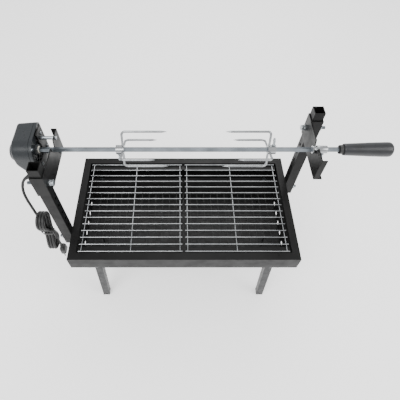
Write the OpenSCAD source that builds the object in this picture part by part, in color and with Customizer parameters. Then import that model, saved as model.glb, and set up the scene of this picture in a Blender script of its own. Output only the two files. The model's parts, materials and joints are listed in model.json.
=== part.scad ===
// Charcoal barbecue tray on four legs, with a motor-driven rotisserie spit over it.
// Everything is drawn about the tray: X along the spit, Z = 0 at the rim's top, and
// rig() then moves it so that the feet stand on Z = 0 and the whole is centred in X.

/* [Fire tray] */
// Length of the tray over its skirt
tray_l = 600; // [590:5:620]
// Width of the tray over its skirt
tray_w = 338; // [334:2:350]
// Height of the tray's skirt
skirt_h = 49; // [47:1:52]
// Width of the rim folded in at the top
rim_w = 20; // [18:1:22]
// Depth of the fire basin below the rim
basin_d = 115; // [112:1:120]
// Height of the rim over the ground
rim_z = 300; // [300:5:340]
// Thickness of the tray's sheet steel
sheet = 1.5; // [1:0.5:1.5]

/* [Grates] */
// Wires in each cooking grate
grate_wires = 15; // [11:1:17]
// Thickness of the grates' wires
wire_d = 3; // [2.5:0.5:3]
// Bars along the charcoal grate
coal_bars = 10; // [8:1:11]
// Cross bars of the charcoal grate
coal_cross_bars = 25; // [20:1:28]

/* [Stand] */
// Side of the legs' square tube
leg_d = 20; // [18:1:20]
// Outward lean of each foot from the top of its leg
leg_lean = 16.5; // [10:0.5:20]
// Side of the uprights' square tube
upright_d = 25; // [24:1:25]
// Height of the uprights over the rim
upright_h = 271; // [268:1:280]
// Distance of each upright from the tray's middle line
upright_y = 84; // [80:1:88]

/* [Spit] */
// Height of the spit over the rim
spit_h = 229; // [229:1:229]
// Side of the square spit
spit_d = 8; // [7:0.5:8]
// Turn of the spit's flats from level
spit_turn = 72; // [0:1:90]
// Distance of the forks' prongs from the spit
prong_r = 45; // [40:1:48]
// Length of each fork's longer prongs
prong_long = 101; // [80:1:105]
// Length of each fork's shorter prongs
prong_short = 75; // [60:1:80]
// Length of the handle
handle_l = 112; // [100:1:120]

/* [Motor] */
// Teeth on the output gear
output_teeth = 48; // [48:1:48]
// Teeth on each pinion
pinion_teeth = 12; // [12:1:12]
// Teeth on the idler's large gear
idler_teeth = 42; // [42:1:42]

/* [Hidden] */

$fn = 48;
tiny = 0.01;

// Tray
half_l = tray_l / 2;
half_w = tray_w / 2;
shelf_top = -skirt_h + sheet;
basin_x = 289;
basin_y = 111;
basin_floor_y = 100;
lip_w = 17;
vent_d = 14;
vent_pitch = 34.5;
vent_z = 13 - basin_d;
ledge_z = -6.3;
ledge_w = 20;

// Legs
plate_t = 3;
plate_top = -skirt_h;
leg_x = 232;
leg_y = 145;
foot_t = 4;
leg_tube_t = 1.5;
leg_bolt_at = [[252, 161.5], [233.5, 161.5]];
basin_bolt_at = [251, 122];

// Uprights and the brackets that slide on them
hole_pitch = 30;
bolt_z = spit_h - 14;
bolt_d = 8;
bolt_hole_d = 8.4;
upright_bolt_z = -27;
upright_foot = -46;
upright_x = half_l + upright_d / 2;
sleeve_gap = 0.3;
sleeve_t = 2.2;
sleeve_d = upright_d + 2 * (sleeve_gap + sleeve_t);
sleeve_low = spit_h - 44;
sleeve_high = spit_h + 19;
plate_x = upright_x - sleeve_d / 2;
bracket_t = 2.5;
bracket_low = spit_h - 47;
bracket_high = spit_h + 17;
bracket_far = -50;
notch_r = 6.8;
notch_mouth = 13.5;

// Motor: X stations from the spit's side to the rear
plate_face = -330.5;
boss_face = -333;
cover_face = -337;
seam = -343;
shell_t = 2;
low_rear = -370;
high_rear = -385;
dome_rear = -402;
motor_front = -33;
motor_back = 60;
motor_top = spit_h + 33;
motor_low = spit_h - 88;
corner_r = 10;
dome_at = [11, spit_h - 19];
dome_r = 29;

// Gear train: the idler lies beside the output gear, the rotor beyond the idler
gear_m = 1;
idler_at = [(output_teeth + pinion_teeth) * gear_m / 2, spit_h];
rotor_reach = (idler_teeth + pinion_teeth) * gear_m / 2;
rotor_dir = 200;
rotor_at = idler_at + rotor_reach * [cos(rotor_dir), sin(rotor_dir)];
front_plane = [-350, -344];
rear_plane = [-356, -351];
gear_plate_x = [-359, -357.5];
core_x = [-374, -362.5];
rotor_r = 14.7;
air_gap = 0.6;
run = 0.05;

// Screws of the motor's cover, as [y, z]
cover_posts = [[-20, spit_h + 21], [52, spit_h + 25], [55.5, spit_h - 29], [-24, motor_low + 8],
               [51, motor_low + 9]];
plate_posts = [[34, spit_h + 19], [38, spit_h - 29], [-14, spit_h - 33]];
spacer_at = [[26, spit_h + 11], [26, spit_h - 36]];

// Switch and cord outlet, on the rear of the motor's lower part
rocker_at = [38, motor_low + 21];
rocker_tilt = 12;
outlet = [low_rear, -18, motor_low + 19];
outlet_dip = 40;
relief_l = 28;
cord_d = 7;

// The cord's route from its strain relief to the hank
cord_route = [
    [-388, -18, 145], [-391, -18, 142], [-395, -19, 138], [-399, -21, 132], [-402, -24, 124],
    [-404, -28, 114], [-404, -33, 103], [-402, -38, 92], [-399, -43, 81], [-395, -48, 70],
    [-391, -53, 59], [-387, -58, 48], [-382, -63, 37], [-378, -68, 27], [-375, -73, 17],
    [-374, -77, 8], [-374, -80, 0]
];
hank_x = [-371, -347];
hank_mid = [-84, 15];
hank_w = 50;
hank_h = 156;
tie_z = [-14, 0];
tie_t = 1.5;
tail_low = hank_mid[1] - hank_h / 2 - 18;
tail_x = hank_x[1] - cord_d / 2;
plug_l = 36;
pin_l = 19;

// Spit
spit_start = -346;
spit_seam = -80;
stud_l = 20;
handle_x = 361;
handle_end = handle_x + handle_l;
rod_end = handle_x + 60;
hub_l = 18;
hub_r = 10.5;
prong_d = 5;
prong_bend = 8;
tip_l = 12;
left_hub = -156;
right_hub = 207;
screw_r = 2.5;
screw_from_back = 5.5;
wing_r = 7;
bush_groove = [296.5, 301];

// Whole
centre_x = -(handle_end + dome_rear) / 2;

// ---- Shared shapes ----

module rig() translate([centre_x, 0, rim_z]) children();

// A span given from a base value
function off(base, span) = [base + span[0], base + span[1]];

module box(x, y, z)
    translate([x[0], y[0], z[0]]) cube([x[1] - x[0], y[1] - y[0], z[1] - z[0]]);

// A flat outline drawn in Y and Z, made solid along X
module along_x(x) translate([x[0], 0, 0]) rotate([90, 0, 90]) linear_extrude(x[1] - x[0]) children();

module rod_x(x, at, r) translate([x[0], at[0], at[1]]) rotate([0, 90, 0]) cylinder(h = x[1] - x[0], r = r);

module rod_y(y, x, z, r) translate([x, y[0], z]) rotate([-90, 0, 0]) cylinder(h = y[1] - y[0], r = r);

module rod_z(z, x, y, r) translate([x, y, z[0]]) cylinder(h = z[1] - z[0], r = r);

module hex_x(x, at, r)
    translate([x[0], at[0], at[1]]) rotate([0, 90, 0]) cylinder(h = x[1] - x[0], r = r, $fn = 6);

module hex_z(z, x, y, r) translate([x, y, z[0]]) cylinder(h = z[1] - z[0], r = r, $fn = 6);

module four_corners() for (sx = [0, 1], sy = [0, 1]) mirror([sx, 0, 0]) mirror([0, sy, 0]) children();

module both_ends() for (turn = [0, 180]) rotate([0, 0, turn]) children();

// The spit's own frame: X along the spit, turned with its flats
module on_spit() translate([0, 0, spit_h]) rotate([spit_turn, 0, 0]) children();

// ---- Tray ----

module rim_frame() rig() color("dimgray") difference() {
    box([-half_l, half_l], [-half_w, half_w], [-skirt_h, 0]);
    box([-half_l + sheet, half_l - sheet], [-half_w + sheet, half_w - sheet], [shelf_top, -sheet]);
    box([-half_l + rim_w, half_l - rim_w], [-half_w + rim_w, half_w - rim_w], [-sheet - 1, 1]);
    box([-basin_x - 0.5, basin_x + 0.5], [-basin_y - 0.5, basin_y + 0.5], [-skirt_h - 1, shelf_top + 1]);
    four_corners() for (at = concat(leg_bolt_at, [basin_bolt_at]))
        rod_z([-skirt_h - 1, shelf_top + 1], at[0], at[1], 3.2);
    both_ends() rod_x([half_l - sheet - 1, half_l + 1], [upright_y, upright_bolt_z], bolt_hole_d / 2);
}

// The basin's outline in Y and Z, drawn inwards by the sheet's thickness t
module basin_outline(t) polygon([
    [-basin_y + t, shelf_top + t], [-basin_floor_y + t, -basin_d + t],
    [basin_floor_y - t, -basin_d + t], [basin_y - t, shelf_top + t]
]);

module fire_basin() rig() color("black") difference() {
    union() {
        along_x([-basin_x, basin_x]) basin_outline(0);
        box([-basin_x - 8, basin_x + 8], [-basin_y - lip_w, basin_y + lip_w],
            [shelf_top, shelf_top + sheet]);
    }
    along_x([-basin_x + sheet, basin_x - sheet]) basin_outline(sheet);
    box([-basin_x + sheet, basin_x - sheet], [-basin_y + sheet, basin_y - sheet],
        [shelf_top + sheet - tiny, shelf_top + sheet + 1]);
    for (sx = [-1, 1], i = [-2:2])
        rod_x([sx * basin_x - 3, sx * basin_x + 3], [i * vent_pitch, vent_z], vent_d / 2);
    four_corners() rod_z([shelf_top - 1, shelf_top + sheet + 1], basin_bolt_at[0], basin_bolt_at[1], 3.2);
}

module grate_ledges() rig() color("dimgray") for (side = [0, 1]) mirror([0, side, 0]) {
    inner = half_w - rim_w;
    x = (half_l - rim_w - 2) * [-1, 1];
    box(x, [inner - ledge_w, inner + sheet], [ledge_z - sheet, ledge_z]);
    box(x, [inner, inner + sheet], [ledge_z, -sheet]);
}

// One half of the cooking surface, from x0 to x1
module cooking_grate(x0, x1) color("silver") {
    pitch = 288.4 / (grate_wires - 1);
    top = ledge_z + 0.3 + 1.85 * wire_d;
    union() {
        for (i = [0:grate_wires - 1])
            rod_x([x0, x1], [(i - (grate_wires - 1) / 2) * pitch, top - wire_d / 2], wire_d / 2);
        for (x = [x0 + 6, (x0 + x1) / 2, x1 - 6])
            rod_y([-146, 146], x, ledge_z + 0.3 + wire_d / 2, wire_d / 2);
    }
}

module grate_left() rig() cooking_grate(-275, -4);

module grate_right() rig() cooking_grate(4, 275);

// Welded grid that carries the coals, on four bent feet
module charcoal_grate() rig() color("black") {
    z = -70;
    floor_z = -basin_d + sheet + 0.3;
    union() {
        for (i = [0:coal_bars - 1])
            rod_x([-257, 257], [(i - (coal_bars - 1) / 2) * 19, z], wire_d / 2);
        for (i = [0:coal_cross_bars - 1])
            rod_y([-90, 90], (i - (coal_cross_bars - 1) / 2) * 21, z + 0.85 * wire_d, wire_d / 2);
        for (x = [-231, 231], y = [-66.5, 66.5]) rod_z([floor_z, z], x, y, wire_d / 2);
    }
}

// ---- Legs ----

// The space of a leg's tube between its plate and the ground, d across
module leg_column(d, low, high) {
    drop = rim_z + plate_top;
    tilt = atan2(leg_lean, drop);
    intersection() {
        translate([leg_x, leg_y, plate_top]) rotate([0, -tilt, 0])
            translate([-d / 2, -d / 2, -drop - 40]) cube([d, d, drop + 80]);
        box([leg_x - 60, leg_x + 60], [leg_y - 20, leg_y + 20], [low, high]);
    }
}

module leg() color([0.33, 0.34, 0.36]) difference() {
    union() {
        leg_column(leg_d, -rim_z + foot_t, plate_top - plate_t + tiny);
        box([208, 267], [113, 167], [plate_top - plate_t, plate_top]);
    }
    leg_column(leg_d - 2 * leg_tube_t, -rim_z, plate_top - plate_t);
    for (at = concat(leg_bolt_at, [basin_bolt_at]))
        rod_z([plate_top - plate_t - 1, plate_top + 1], at[0], at[1], 3.2);
}

module leg_front_left() rig() mirror([1, 0, 0]) mirror([0, 1, 0]) leg();

module leg_front_right() rig() mirror([0, 1, 0]) leg();

module leg_rear_left() rig() mirror([1, 0, 0]) leg();

module leg_rear_right() rig() leg();

module foot_plugs() rig() color("black") four_corners() {
    leg_column(leg_d + 1, -rim_z, -rim_z + foot_t);
    leg_column(leg_d - 2 * leg_tube_t - 0.1, -rim_z + foot_t - tiny, -rim_z + foot_t + 14);
}

module leg_bolts() rig() color("silver") four_corners() for (at = leg_bolt_at) {
    hex_z([plate_top - plate_t - 4, plate_top - plate_t], at[0], at[1], 5.8);
    rod_z([plate_top - plate_t - tiny, shelf_top + 9], at[0], at[1], 3);
}

module leg_nuts() rig() color("silver") four_corners() {
    for (at = leg_bolt_at) difference() {
        hex_z([shelf_top, shelf_top + 5], at[0], at[1], 5.8);
        rod_z([shelf_top - 1, shelf_top + 6], at[0], at[1], 3);
    }
    difference() {
        hex_z([plate_top - plate_t - 5, plate_top - plate_t], basin_bolt_at[0], basin_bolt_at[1], 5.8);
        rod_z([plate_top - plate_t - 6, plate_top], basin_bolt_at[0], basin_bolt_at[1], 3);
    }
}

module basin_bolts() rig() color("silver") four_corners() {
    hex_z([shelf_top + sheet, shelf_top + sheet + 4], basin_bolt_at[0], basin_bolt_at[1], 5.8);
    rod_z([plate_top - plate_t - 9, shelf_top + sheet + tiny], basin_bolt_at[0], basin_bolt_at[1], 3);
}

// ---- Uprights ----

module upright() color([0.22, 0.22, 0.23]) difference() {
    wall = 1.5;
    inner = upright_d - 2 * wall;
    low = [upright_x - upright_d / 2, upright_y - upright_d / 2, upright_foot];
    translate(low) cube([upright_d, upright_d, upright_h - upright_foot]);
    translate(low + [wall, wall, -1]) cube([inner, inner, upright_h - upright_foot + 2]);
    for (z = concat([for (i = [-6:1]) bolt_z + i * hole_pitch], [upright_bolt_z]))
        rod_x([half_l - 1, half_l + upright_d + 1], [upright_y, z], bolt_hole_d / 2);
}

module upright_left() rig() rotate([0, 0, 180]) upright();

module upright_right() rig() upright();

module upright_bolts() rig() color("silver") both_ends() {
    hex_x([half_l - sheet - 5.5, half_l - sheet], [upright_y, upright_bolt_z], 7.5);
    rod_x([half_l - sheet - tiny, half_l + upright_d + 13], [upright_y, upright_bolt_z], bolt_d / 2);
}

module upright_nuts() rig() color("silver") both_ends() difference() {
    hex_x([half_l + upright_d, half_l + upright_d + 6.5], [upright_y, upright_bolt_z], 7.5);
    rod_x([half_l + upright_d - 1, half_l + upright_d + 8], [upright_y, upright_bolt_z], bolt_d / 2);
}

// ---- Brackets ----

// Mouth for the spit, open at the top of the bracket's plate
module notch() union() {
    translate([0, spit_h]) circle(r = notch_r);
    polygon([
        [-notch_r, spit_h], [-notch_mouth, bracket_high + 1],
        [notch_mouth, bracket_high + 1], [notch_r, spit_h]
    ]);
}

module bracket() color([0.26, 0.26, 0.27]) {
    near = upright_y - sleeve_d / 2;
    inner = upright_d / 2 + sleeve_gap;
    difference() {
        union() {
            box([plate_x, plate_x + sleeve_d], [near, near + sleeve_d], [sleeve_low, sleeve_high]);
            box([plate_x, plate_x + bracket_t], [bracket_far, near + 1], [bracket_low, bracket_high]);
            box([plate_x, plate_x + 13], [bracket_far, bracket_far + bracket_t],
                [bracket_low, bracket_high]);
            box([plate_x, plate_x + 19.5], [bracket_far, near - 2], [bracket_low, bracket_low + bracket_t]);
        }
        box([upright_x - inner, upright_x + inner], [upright_y - inner, upright_y + inner],
            [sleeve_low - 1, sleeve_high + 1]);
        along_x([plate_x - 1, plate_x + bracket_t + 1]) notch();
        rod_x([plate_x - 1, plate_x + sleeve_d + 1], [upright_y, bolt_z], bolt_hole_d / 2);
        for (at = spacer_at) rod_x([plate_x - 1, plate_x + bracket_t + 1], [-at[0], at[1]], 2.7);
    }
}

module bracket_left() rig() rotate([0, 0, 180]) bracket();

module bracket_right() rig() bracket();

// Each bolt's head bears on a nut welded to the bracket
module height_bolts() rig() color("silver") both_ends() {
    hex_x([plate_x - 12.2, plate_x - 6.7], [upright_y, bolt_z], 7.5);
    rod_x([plate_x - 6.7 - tiny, plate_x + sleeve_d + 17], [upright_y, bolt_z], bolt_d / 2);
}

module height_nuts() rig() color("silver") both_ends() difference() {
    union() {
        hex_x([plate_x + sleeve_d, plate_x + sleeve_d + 6.5], [upright_y, bolt_z], 7.5);
        hex_x([plate_x - 6.5, plate_x], [upright_y, bolt_z], 7.5);
    }
    rod_x([plate_x - 8, plate_x + sleeve_d + 8], [upright_y, bolt_z], bolt_d / 2);
}

// ---- Motor carrier ----

module motor_plate() rig() color("dimgray") difference() {
    union() {
        box([boss_face, plate_face], [12, 48], [bracket_low + 4, bracket_high + 17]);
        box([boss_face, plate_face], [-28, 48], [bracket_low + 4, bracket_low + 25]);
    }
    rod_x([boss_face - 1, plate_face + 1], [0, spit_h], 15);
    for (at = concat(spacer_at, plate_posts)) rod_x([boss_face - 1, plate_face + 1], at, 2.7);
}

module spacer_rods() rig() color("gray") for (at = spacer_at) {
    rod_x([plate_face, -plate_x - bracket_t], at, 4);
    rod_x([boss_face - 3.5, -plate_x + 3.5], at, 2.5);
}

module spacer_nuts() rig() color("silver") for (at = spacer_at) difference() {
    union() {
        hex_x([boss_face - 3, boss_face], at, 4.6);
        hex_x([-plate_x, -plate_x + 3], at, 4.6);
    }
    rod_x([boss_face - 4, -plate_x + 4], at, 2.5);
}

// ---- Motor ----

// The motor's outline in Y and Z, drawn inwards by t; round over the spit
module motor_outline(t) {
    translate([0, spit_h]) circle(r = -motor_front - t);
    translate([motor_front + t, motor_low + corner_r])
        square([motor_back - motor_front - 2 * t, spit_h - motor_low - corner_r]);
    translate([motor_front + corner_r, motor_low + t])
        square([motor_back - motor_front - 2 * corner_r, spit_h - motor_low - t]);
    translate([0, spit_h - 1]) square([motor_back - corner_r, motor_top - spit_h - t + 1]);
    translate([0, spit_h - 1]) square([motor_back - t, motor_top - spit_h - corner_r + 1]);
    for (at = [
        [motor_front + corner_r, motor_low + corner_r], [motor_back - corner_r, motor_low + corner_r],
        [motor_back - corner_r, motor_top - corner_r]
    ])
        translate(at) circle(r = corner_r - t);
}

module gearbox_cover() rig() color([0.36, 0.38, 0.4]) difference() {
    union() {
        along_x([seam, cover_face]) motor_outline(0);
        rod_x([cover_face - tiny, cover_face + 4.7], [0, spit_h], 12);
        for (at = plate_posts) rod_x([cover_face - tiny, boss_face], at, 5);
    }
    along_x([seam - 1, cover_face - shell_t]) motor_outline(shell_t);
    rod_x([seam - 1, cover_face + 6], [0, spit_h], 8 + run);
    for (at = plate_posts) rod_x([cover_face - 3, boss_face + 1], at, 2);
    for (at = cover_posts) rod_x([cover_face - 3, cover_face + 1], at, 2.2);
}

module plate_screws() rig() color("silver") for (at = plate_posts) {
    rod_x([plate_face, plate_face + 2.5], at, 4);
    rod_x([cover_face - 1.9, plate_face + tiny], at, 2);
}

// Side outline of the rear shell: deep at the top, slanting in to a shallower lower part
module shell_profile(t) translate([0, 100, 0]) rotate([90, 0, 0]) linear_extrude(200) polygon([
    [seam + 1, motor_low - 1], [low_rear + t, motor_low - 1], [low_rear + t, spit_h - 46],
    [high_rear + t, spit_h - 16], [high_rear + t, motor_top + 1], [seam + 1, motor_top + 1]
]);

module rear_bulge(t) {
    translate([high_rear + t, dome_at[0], dome_at[1]]) rotate([0, -90, 0])
        cylinder(h = high_rear - dome_rear, r1 = dome_r - t, r2 = dome_r - 9 - t);
    rod_x([high_rear + t - tiny, low_rear + t], dome_at, dome_r - t);
}

module motor_housing() rig() color([0.29, 0.31, 0.32]) difference() {
    union() {
        intersection() {
            along_x([high_rear, seam]) motor_outline(0);
            shell_profile(0);
        }
        rear_bulge(0);
    }
    difference() {
        union() {
            intersection() {
                along_x([high_rear, seam + 1]) motor_outline(shell_t);
                shell_profile(shell_t);
            }
            rear_bulge(shell_t);
        }
        for (at = cover_posts) rod_x([high_rear, seam], at, 3.5);
    }
    for (at = cover_posts) rod_x([seam - 10, seam + 1], at, 1.6);
    box([low_rear - 1, low_rear + 3], off(rocker_at[0], [-6, 6]), off(rocker_at[1], [-10, 10]));
    translate(outlet) rotate([0, -90, 0]) cylinder(h = 12, r = 6, center = true);
}

module cover_screws() rig() color("silver") for (at = cover_posts) {
    rod_x([cover_face, cover_face + 2.2], at, 3.8);
    rod_x([cover_face - 14, cover_face + tiny], at, 1.6);
}

// Straight-sided teeth, thinned so that the train runs with play
module gear_outline(teeth, turn) {
    step = 360 / teeth;
    root = teeth * gear_m / 2 - 1.2 * gear_m;
    tip = teeth * gear_m / 2 + 0.9 * gear_m;
    corners = [[root, -0.3], [tip, -0.11], [tip, 0.11], [root, 0.3]];
    rotate(turn) polygon([for (i = [0:teeth - 1], c = corners)
        c[0] * [cos((i + c[1]) * step), sin((i + c[1]) * step)]]);
}

module gear(x, at, teeth, turn)
    along_x(x) translate(at) gear_outline(teeth, turn);

module gear_plate() rig() color("silver") difference() {
    intersection() {
        along_x(gear_plate_x) motor_outline(shell_t + run);
        box(gear_plate_x, [motor_front, motor_back], [spit_h - 43, motor_top]);
    }
    for (at = cover_posts) rod_x(gear_plate_x + [-1, 1], at, 3.6);
    rod_x(gear_plate_x + [-1, 1], [0, spit_h], 2.5 + run);
    rod_x(gear_plate_x + [-1, 1], idler_at, 2);
    rod_x(gear_plate_x + [-1, 1], rotor_at, 3.5);
}

module idler_pin() rig() color("silver") rod_x([gear_plate_x[0], cover_face - shell_t], idler_at, 2);

module output_gear() rig() color("white") difference() {
    union() {
        gear(front_plane, [0, spit_h], output_teeth, 0);
        rod_x([front_plane[1] - tiny, cover_face + 5.5], [0, spit_h], 8);
        rod_x([gear_plate_x[0] - 0.5, front_plane[0] + tiny], [0, spit_h], 2.5);
    }
    on_spit() square_bar([spit_start - 1.5, cover_face + 6], spit_d + 0.4);
}

module idler_gear() rig() color("ivory") difference() {
    union() {
        gear(front_plane, idler_at, pinion_teeth, 180 / pinion_teeth);
        gear(rear_plane, idler_at, idler_teeth, rotor_dir);
        rod_x([rear_plane[1] - tiny, front_plane[0] + tiny], idler_at, 4);
    }
    rod_x([rear_plane[0] - 1, front_plane[1] + 1], idler_at, 2 + run);
}

module rotor_shaft() rig() color("silver") {
    gear(rear_plane, rotor_at, pinion_teeth, rotor_dir + 180 / pinion_teeth);
    rod_x([core_x[0] - 6, rear_plane[0] + tiny], rotor_at, 2.5);
}

module rotor_core() rig() color("gray") difference() {
    rod_x(core_x + [0.5, -0.5], rotor_at, rotor_r);
    rod_x(core_x + [-1, 1], rotor_at, 2.5);
}

// Flat-sided laminated core: the rotor's bore, a window, and the leg that the coil is wound on
module stator_core() rig() color("slategray") difference() {
    box(core_x, [-15, 50], off(rotor_at[1], [-19.5, 19.5]));
    rod_x(core_x + [-1, 1], rotor_at, rotor_r + air_gap);
    box(core_x + [-1, 1], [26, 40], off(rotor_at[1], [-12, 12]));
}

module stator_coil() rig() color("orange") difference() {
    box(core_x + [-3.5, 3], [34, 56], off(rotor_at[1], [-11.5, 11.5]));
    box(core_x, [40, 50], off(rotor_at[1], [-13, 13]));
}

module bearing_bridges() rig() color("silver")
    for (x = [[core_x[0] - 2.5, core_x[0]], [core_x[1], core_x[1] + 2.3]]) difference() {
        box(x, [-14, 25], off(rotor_at[1], [-5, 5]));
        rod_x(x + [-1, 1], rotor_at, 2.5 + run);
    }

module terminal_block() rig() color("ivory") difference() {
    box([-364, -352], [-8, 12], off(motor_low + shell_t, [0, 10]));
    for (y = [-3, 7]) rod_z(off(motor_low + shell_t, [3, 11]), -358, y, 2);
}

module switch_body() rig() color("black") difference() {
    union() {
        box([low_rear - 1.5, low_rear], off(rocker_at[0], [-8, 8]), off(rocker_at[1], [-12, 12]));
        box([low_rear - tiny, low_rear + 14], off(rocker_at[0], [-6, 6]), off(rocker_at[1], [-10, 10]));
    }
    box([low_rear - 2, low_rear + 6], off(rocker_at[0], [-4.6, 4.6]), off(rocker_at[1], [-8, 8]));
}

module switch_rocker() rig() color("firebrick") translate([low_rear, rocker_at[0], rocker_at[1]])
    rotate([0, rocker_tilt, 0]) box([-3, 3], [-4.3, 4.3], [-6.2, 6.2]);

// ---- Power cord ----

// Flanged plug of the outlet with a tapered boot that dips towards the ground
module strain_relief() rig() color("black") union() {
    translate(outlet + [-1.5, 0, 0]) rotate([0, 90, 0]) cylinder(h = 1.5, r = 8);
    translate(outlet + [-1, 0, 0]) rotate([0, 90, 0]) cylinder(h = 5, r = 6);
    translate(outlet) rotate([0, -90 - outlet_dip, 0]) cylinder(h = relief_l, r1 = 6, r2 = 4.2);
}

function unit(v) = v / norm(v);

// A ring of points round the route at point i, square to the route there
function ring(route, i, r, sides) =
    let (
        along = unit(route[min(i + 1, len(route) - 1)] - route[max(i - 1, 0)]),
        across = unit(cross(along, [0, 1, 0])),
        up = cross(across, along)
    )
    [for (k = [0:sides - 1]) route[i] + r * (across * cos(k * 360 / sides) + up * sin(k * 360 / sides))];

module tube(route, d, sides = 8) {
    n = len(route);
    points = [for (i = [0:n - 1]) each ring(route, i, d / 2, sides)];
    walls = [for (i = [0:n - 2], k = [0:sides - 1]) let (next = (k + 1) % sides)
        [i * sides + k, i * sides + next, (i + 1) * sides + next, (i + 1) * sides + k]];
    ends = [[for (k = [sides - 1:-1:0]) k], [for (k = [0:sides - 1]) (n - 1) * sides + k]];
    polyhedron(points, concat(walls, ends));
}

module power_cord() rig() color("black") tube(cord_route, cord_d);

module cord_hank() rig() color("black") along_x(hank_x) translate(hank_mid) {
    straight = hank_h - hank_w;
    square([hank_w, straight], center = true);
    for (side = [-1, 1]) translate([0, side * straight / 2]) circle(d = hank_w);
}

module cord_tie() rig() color("dimgray") difference() {
    box(hank_x + [-tie_t, tie_t], off(hank_mid[0], (hank_w / 2 + tie_t) * [-1, 1]), tie_z);
    box(hank_x, off(hank_mid[0], hank_w / 2 * [-1, 1]), tie_z + [-1, 1]);
}

module cord_tail() rig() color("black")
    rod_z([tail_low, hank_mid[1] - hank_h / 2 + 3], tail_x, hank_mid[0], cord_d / 2);

module plug_body() rig() color("black") translate([tail_x, hank_mid[0], tail_low]) {
    rod_z([-9, 0], 0, 0, 6);
    box([-8, 8], [-13, 13], [-plug_l, -9 + tiny]);
}

module plug_pins() rig() color("silver") for (side = [-1, 1])
    rod_z([tail_low - plug_l - pin_l, tail_low - plug_l], tail_x, hank_mid[0] + side * 9.5, 2.4);

// ---- Spit ----

module square_bar(x, d) box(x, d / 2 * [-1, 1], d / 2 * [-1, 1]);

module spit_rod_drive() rig() color("silver") on_spit() {
    square_bar([spit_start, spit_seam], spit_d);
    rod_x([spit_seam - tiny, spit_seam + stud_l], [0, 0], 2.5);
}

module spit_rod_handle() rig() color("silver") on_spit() difference() {
    square_bar([spit_seam, rod_end], spit_d);
    rod_x([spit_seam - 1, spit_seam + stud_l + 1], [0, 0], 2.6);
}

// Half outline of the handle as [radius, distance along the spit]
handle_tip_r = 17;
handle_outline = concat(
    [[0, handle_x], [12, handle_x], [13.5, handle_x + 2], [14, handle_x + 12], [16, handle_x + 60]],
    [for (a = [0:15:90]) [handle_tip_r * cos(a), handle_end - handle_tip_r + handle_tip_r * sin(a)]]
);

module handle() rig() color([0.2, 0.2, 0.21]) on_spit() difference() {
    rotate([0, 90, 0]) rotate_extrude() polygon(handle_outline);
    square_bar([handle_x - 1, rod_end + 0.2], spit_d + 0.1);
}

module handle_ferrule() rig() color("black") on_spit() difference() {
    rod_x([handle_x - 9, handle_x], [0, 0], 10.5);
    square_bar([handle_x - 10, handle_x + 1], spit_d + 0.1);
}

// A clamping screw's hole or shank, square to the spit at x
module screw_hole(x, turn) rotate([turn, 0, 0]) rod_y([0, 14], x, 0, screw_r + run);

module wing_screw(x, turn) color("silver") rotate([turn, 0, 0]) {
    rod_y([spit_d / 2 + 0.4, 17], x, 0, screw_r);
    rod_y([11, 12.5], x, 0, 4.2);
    rod_x([x - 1.5, x + 1.5], [14.5 + wing_r, 0], wing_r);
}

module support_bush() rig() color("silver") on_spit() difference() {
    union() {
        rod_x([bush_groove[0] - 5.5, bush_groove[0]], [0, 0], 9);
        rod_x(bush_groove + [-tiny, tiny], [0, 0], notch_r - 0.4);
        rod_x([bush_groove[1], bush_groove[1] + 23], [0, 0], 9);
    }
    square_bar([bush_groove[0] - 7, bush_groove[1] + 24], spit_d + 0.1);
    screw_hole(bush_groove[1] + 15, 180);
}

module bush_screw() rig() on_spit() wing_screw(bush_groove[1] + 15, 180);

// An L of wire, out from the hub and bent along the spit, with a ground point
module prong(length) {
    r = prong_d / 2;
    overlap = 0.5;
    straight = length - prong_bend + overlap;
    rod_y([8, prong_r - prong_bend + overlap], 0, 0, r);
    translate([prong_bend, prong_r - prong_bend, 0]) rotate([0, 0, 90])
        rotate_extrude(angle = 90) translate([prong_bend, 0]) circle(r = r + 0.1);
    translate([prong_bend - overlap, prong_r, 0]) rotate([0, 90, 0]) rotate_extrude()
        polygon([[0, 0], [r, 0], [r, straight - tip_l], [0.4, straight], [0, straight]]);
}

// Drawn from the hub's back at x = 0, with its prongs pointing to +X
module fork(screw_turn) color("silver") union() {
    difference() {
        rod_x([0, hub_l], [0, 0], hub_r);
        square_bar([-1, hub_l + 1], spit_d + 0.7);
        screw_hole(screw_from_back, screw_turn);
    }
    for (k = [0:3]) translate([hub_l - prong_d / 2, 0, 0]) rotate([90 * k, 0, 0])
        prong(k % 2 == 0 ? prong_long : prong_short);
}

module fork_left() rig() on_spit() translate([left_hub, 0, 0]) fork(180);

module fork_right() rig() on_spit() translate([right_hub, 0, 0]) mirror([1, 0, 0]) fork(0);

module fork_screw_left() rig() on_spit() wing_screw(left_hub + screw_from_back, 180);

module fork_screw_right() rig() on_spit() wing_screw(right_hub - screw_from_back, 0);

rim_frame();
fire_basin();
grate_ledges();
charcoal_grate();
grate_left();
grate_right();
leg_front_left();
leg_front_right();
leg_rear_left();
leg_rear_right();
foot_plugs();
leg_bolts();
leg_nuts();
basin_bolts();
upright_left();
upright_right();
upright_bolts();
upright_nuts();
bracket_left();
bracket_right();
height_bolts();
height_nuts();
motor_plate();
spacer_rods();
spacer_nuts();
plate_screws();
gearbox_cover();
motor_housing();
cover_screws();
gear_plate();
idler_pin();
stator_core();
stator_coil();
bearing_bridges();
terminal_block();
switch_body();
switch_rocker();
strain_relief();
power_cord();
cord_hank();
cord_tie();
cord_tail();
plug_body();
plug_pins();
output_gear();
idler_gear();
rotor_core();
rotor_shaft();
spit_rod_drive();
spit_rod_handle();
handle();
handle_ferrule();
support_bush();
bush_screw();
fork_left();
fork_right();
fork_screw_left();
fork_screw_right();
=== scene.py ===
"""A charcoal barbecue with a motor-driven rotisserie spit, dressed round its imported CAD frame.

Places are given in millimetres from the tray's middle at the top of its rim, as in the CAD
source, and at() turns them into the row frame in metres.
"""

import json
import math

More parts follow.
